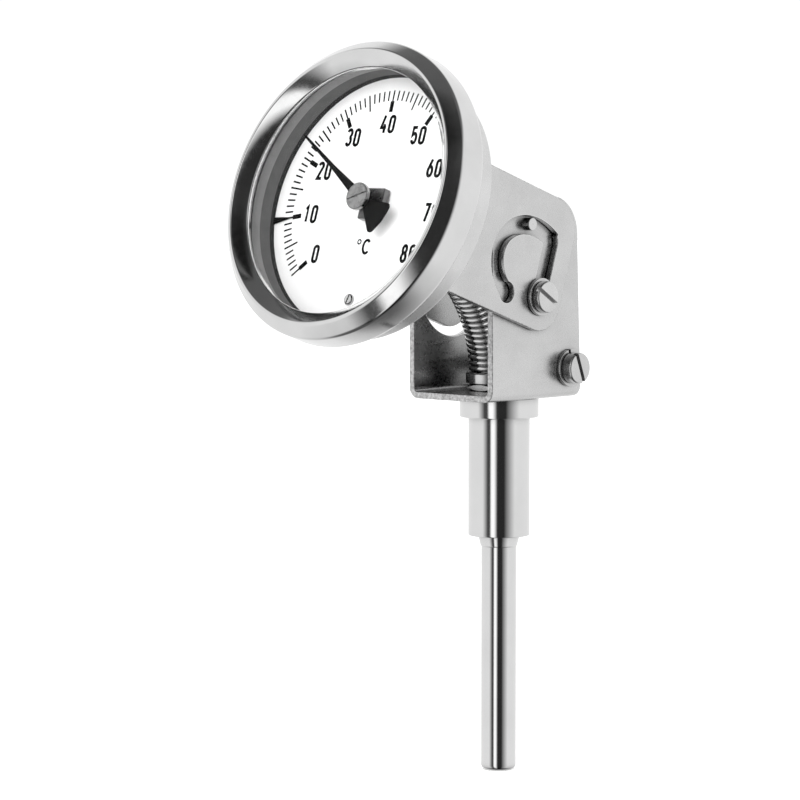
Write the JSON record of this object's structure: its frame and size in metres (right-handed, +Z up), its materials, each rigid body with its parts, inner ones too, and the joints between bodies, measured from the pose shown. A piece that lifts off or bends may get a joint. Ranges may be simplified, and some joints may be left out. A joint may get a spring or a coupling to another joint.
{
  "type": "dial thermometer",
  "caption": "Bimetal dial thermometer with a round steel case tilting on a slotted U bracket, a coil spring neck and a rigid immersion stem.",
  "frame": {"origin": "on the stem's axis, in the underside of the collar, where the sleeve begins", "axes": "+Z up along the stem, away from its tip; -Y towards the side the dial faces; +X towards the side with the slotted arm and the clamp screw"},
  "size_m": [0.0674, 0.0772, 0.1644],
  "materials": {
    "satin_steel": "satin, fine mottled surface",
    "polished_steel": "polished stainless",
    "turned_steel": "fine turned, bright",
    "spring_steel": "bright drawn wire",
    "screw_steel": "bright zinc plated",
    "window": "clear flat glass",
    "dial_white": "matt white",
    "pointer_black": "satin black",
    "spacer_grey": "matt grey",
    "seal_black": "matt",
    "plain_brass": "dull"
  },
  "bodies": {
    "stem": {"stem_body": "polished_steel", "immersion_tube": "polished_steel", "bimetal_coil": "plain_brass", "stem_bush": "plain_brass", "lock_nut": "screw_steel", "spring_seat": "turned_steel", "fixed_bracket": "satin_steel", "guide_pin": "turned_steel", "clamp_washer": "screw_steel", "clamp_nut": "screw_steel", "cross_bolt": "screw_steel", "cross_bolt_washers": "screw_steel", "cross_bolt_nut": "screw_steel", "spring_0": "spring_steel", "flex_shaft_0": "turned_steel"},
    "drive_shaft": {"stem_shaft": "turned_steel"},
    "clamp_screw": {"clamp_screw": "screw_steel"},
    "slot_bush": {"slot_bush": "plain_brass"},
    "case": {"case_bracket": "satin_steel", "case_socket": "turned_steel", "case_nut": "screw_steel", "case_shell": "satin_steel", "bezel_ring": "polished_steel", "window_glass": "window", "glass_gasket": "seal_black", "spacer_ring": "spacer_grey", "dial_plate": "dial_white", "dial_post": "plain_brass", "dial_screw": "turned_steel", "bearing_bridge": "turned_steel", "spindle_bush": "plain_brass"},
    "pointer": {"spindle": "turned_steel", "pointer": "pointer_black", "pointer_hub": "turned_steel"},
    "set_marker": {"set_marker": "pointer_black"},
    "spring_link_1": {"spring_1": "spring_steel", "flex_shaft_1": "turned_steel"},
    "spring_link_2": {"spring_2": "spring_steel", "flex_shaft_2": "turned_steel"},
    "spring_link_3": {"spring_3": "spring_steel", "flex_shaft_3": "turned_steel"},
    "spring_link_4": {"spring_4": "spring_steel", "flex_shaft_4": "turned_steel"},
    "spring_link_5": {"spring_5": "spring_steel", "flex_shaft_5": "turned_steel"},
    "spring_link_6": {"spring_6": "spring_steel", "flex_shaft_6": "turned_steel"}
  },
  "joints": [
    {"name": "tilt", "type": "hinge", "parent": "stem", "child": "slot_bush", "pos_m": [0, -0.0026, 0.0277], "axis": [-1, 0, 0], "range_deg": [-18.5, 111.5]},
    {"name": "slot_slide", "type": "slide", "parent": "slot_bush", "child": "case", "axis": [0, -0.3173, -0.9483], "range_m": [-0.0018, 0.0104]},
    {"name": "spring_bend_1", "type": "hinge", "parent": "stem", "child": "spring_link_1", "pos_m": [0, 0, 0.01412], "axis": [-1, 0, 0], "range_deg": [-3.72, 21.42]},
    {"name": "spring_bend_2", "type": "hinge", "parent": "spring_link_1", "child": "spring_link_2", "pos_m": [0, -0.00201, 0.02169], "axis": [-1, 0, 0], "range_deg": [-3.55, 20.36]},
    {"name": "spring_bend_3", "type": "hinge", "parent": "spring_link_2", "child": "spring_link_3", "pos_m": [0, -0.00576, 0.02856], "axis": [-1, 0, 0], "range_deg": [-3.37, 19.31]},
    {"name": "spring_bend_4", "type": "hinge", "parent": "spring_link_3", "child": "spring_link_4", "pos_m": [0, -0.01091, 0.03447], "axis": [-1, 0, 0], "range_deg": [-3.2, 18.26]},
    {"name": "spring_bend_5", "type": "hinge", "parent": "spring_link_4", "child": "spring_link_5", "pos_m": [0, -0.01712, 0.03924], "axis": [-1, 0, 0], "range_deg": [-3.02, 17.2]},
    {"name": "spring_bend_6", "type": "hinge", "parent": "spring_link_5", "child": "spring_link_6", "pos_m": [0, -0.02407, 0.04285], "axis": [-1, 0, 0], "range_deg": [-2.85, 16.15]},
    {"name": "pointer_turn", "type": "hinge", "parent": "case", "child": "pointer", "pos_m": [0, -0.042, 0.049], "axis": [0, 0.9483, -0.3173], "range_deg": [-75.54, 184.96], "stiffness_Nm_per_rad": 0.0002},
    {"name": "shaft_turn", "type": "hinge", "parent": "stem", "child": "drive_shaft", "pos_m": [0, 0, 0], "axis": [0, 0, -1], "range_deg": [-76.54, 185.96]},
    {"name": "marker_turn", "type": "hinge", "parent": "case", "child": "set_marker", "pos_m": [0, -0.042, 0.049], "axis": [0, 0.9483, -0.3173], "range_deg": [-32.24, 228.26]},
    {"name": "clamp_screw_turn", "type": "hinge", "parent": "stem", "child": "clamp_screw", "pos_m": [0, -0.0026, 0.0277], "axis": [1, 0, 0], "range_deg": [0, 180]}
  ],
  "couplings": [
    {"joint": "slot_slide", "follows": "tilt", "m_per_rad": 0.0052712},
    {"joint": "spring_bend_1", "follows": "tilt", "ratio": 0.19028},
    {"joint": "spring_bend_2", "follows": "tilt", "ratio": 0.18083},
    {"joint": "spring_bend_3", "follows": "tilt", "ratio": 0.17139},
    {"joint": "spring_bend_4", "follows": "tilt", "ratio": 0.16194},
    {"joint": "spring_bend_5", "follows": "tilt", "ratio": 0.1525},
    {"joint": "spring_bend_6", "follows": "tilt", "ratio": 0.14306},
    {"joint": "shaft_turn", "follows": "pointer_turn", "ratio": 1}
  ]
}
